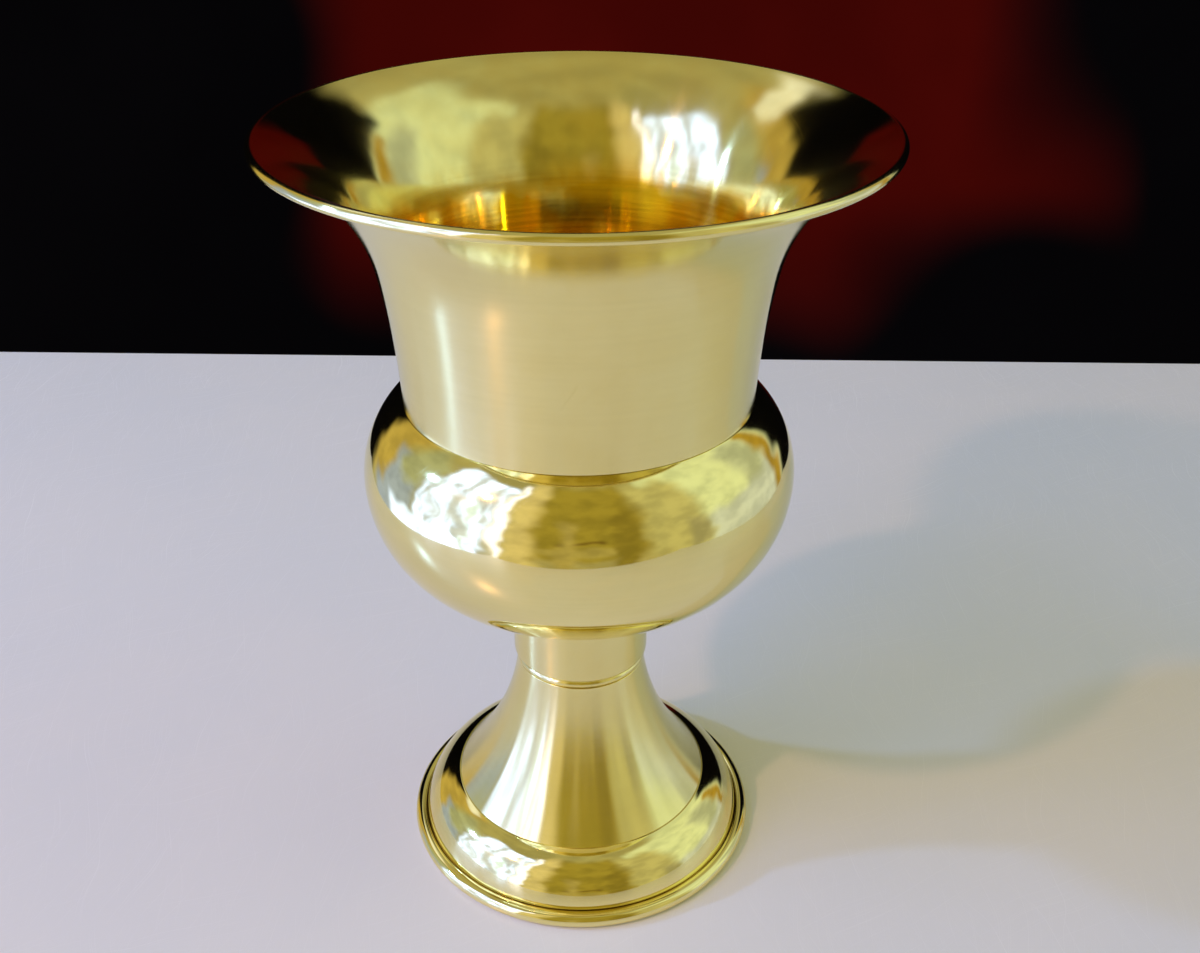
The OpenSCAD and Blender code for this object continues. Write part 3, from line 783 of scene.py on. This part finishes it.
azimuth = wandered((-850, 100), azimuth, drift.outputs[0])
elevation = wandered((-850, -100), elevation, drift.outputs[1])
foldPlace = addNode(sky, "ShaderNodeCombineXYZ", (-700, 300), {
    "X": calcFloat(sky, (-850, 350), "MULTIPLY", azimuth, unevenness["foldsAcross"]),
    "Y": calcFloat(sky, (-850, 450), "MULTIPLY", elevation, unevenness["foldsUp"])}).outputs[0]
foldNoise = noiseAt(sky, (-550, 300), foldPlace, unevenness["foldScale"], 2.0, 0.55)
folds = between(sky, (-400, 300), foldNoise, unevenness["foldFrom"], unevenness["foldTo"], unevenness["foldShade"], 1.0)
clutterNoise = noiseAt(sky, (-550, 500), look, unevenness["clutterScale"], 3.0)
clutter = between(sky, (-400, 500), clutterNoise, 0.35, 0.65, *unevenness["clutter"])


def nearness(place, value, half, soft):  # 1 inside the panel's half size, fading to 0 over its soft edge
    distance = calcFloat(sky, (place[0] - 150, place[1]), "ABSOLUTE", value)
    return between(sky, place, distance, math.radians(half + soft), math.radians(half - soft))


colour = (*room.pop("ceiling"), 1)
for index, (name, panel) in enumerate(room.items()):
    at, height, halfWidth, halfHeight, soft, shade = panel
    down = -300 * index
    across = calcFloat(sky, (-850, down), "SUBTRACT", azimuth, math.radians(at))
    across = calcFloat(sky, (-700, down), "WRAP", across, math.pi, -math.pi)
    rise = calcFloat(sky, (-700, down - 150), "SUBTRACT", elevation, math.radians(height))
    mask = calcFloat(sky, (-200, down), "MULTIPLY", nearness((-400, down), across, halfWidth, soft),
                     nearness((-400, down - 150), rise, halfHeight, soft))
    if name.startswith("window"):
        mask = calcFloat(sky, (-100, down), "MULTIPLY", mask, folds)
    colour = mixColour(sky, (0, down), mask, colour, (*shade, 1))
colour = vectorStep(sky, (200, 0), "SCALE", colour, clutter)
# Seen directly, the bright panels are held down to a plain grey
plainGrey = (0.42, 0.42, 0.44)
plainest = vectorStep(sky, (350, -200), "MINIMUM", colour, plainGrey)
seen = mixColour(sky, (500, 0), addNode(sky, "ShaderNodeLightPath", (300, 300)).outputs["Is Camera Ray"], colour, plainest)
fill(sky, sky.nodes["Background"].inputs["Color"], seen)

cameraSettings = {"at": (0.0, -0.28866, 0.27368), "right": (0.9999, -0.0158, 0.0027), "up": (0.0055, 0.4992, 0.8665),
                  "lens": 40.5, "sensor": 36}
cameraData = bpy.data.cameras.new("camera")
cameraData.lens, cameraData.sensor_width = cameraSettings["lens"], cameraSettings["sensor"]
cameraData.sensor_fit = "HORIZONTAL"
cameraData.clip_start, cameraData.clip_end = 0.01, 20
camera = bpy.data.objects.new("camera", cameraData)
bpy.context.scene.collection.objects.link(camera)
side, up = Vector(cameraSettings["right"]).normalized(), Vector(cameraSettings["up"]).normalized()
back = side.cross(up).normalized()
up = back.cross(side)
camera.matrix_world = Matrix.Translation(cameraSettings["at"]) @ Matrix((side, up, back)).transposed().to_4x4()
bpy.context.scene.camera = camera
bpy.context.scene.view_settings.view_transform = "Standard"
print("table, lights and camera placed")
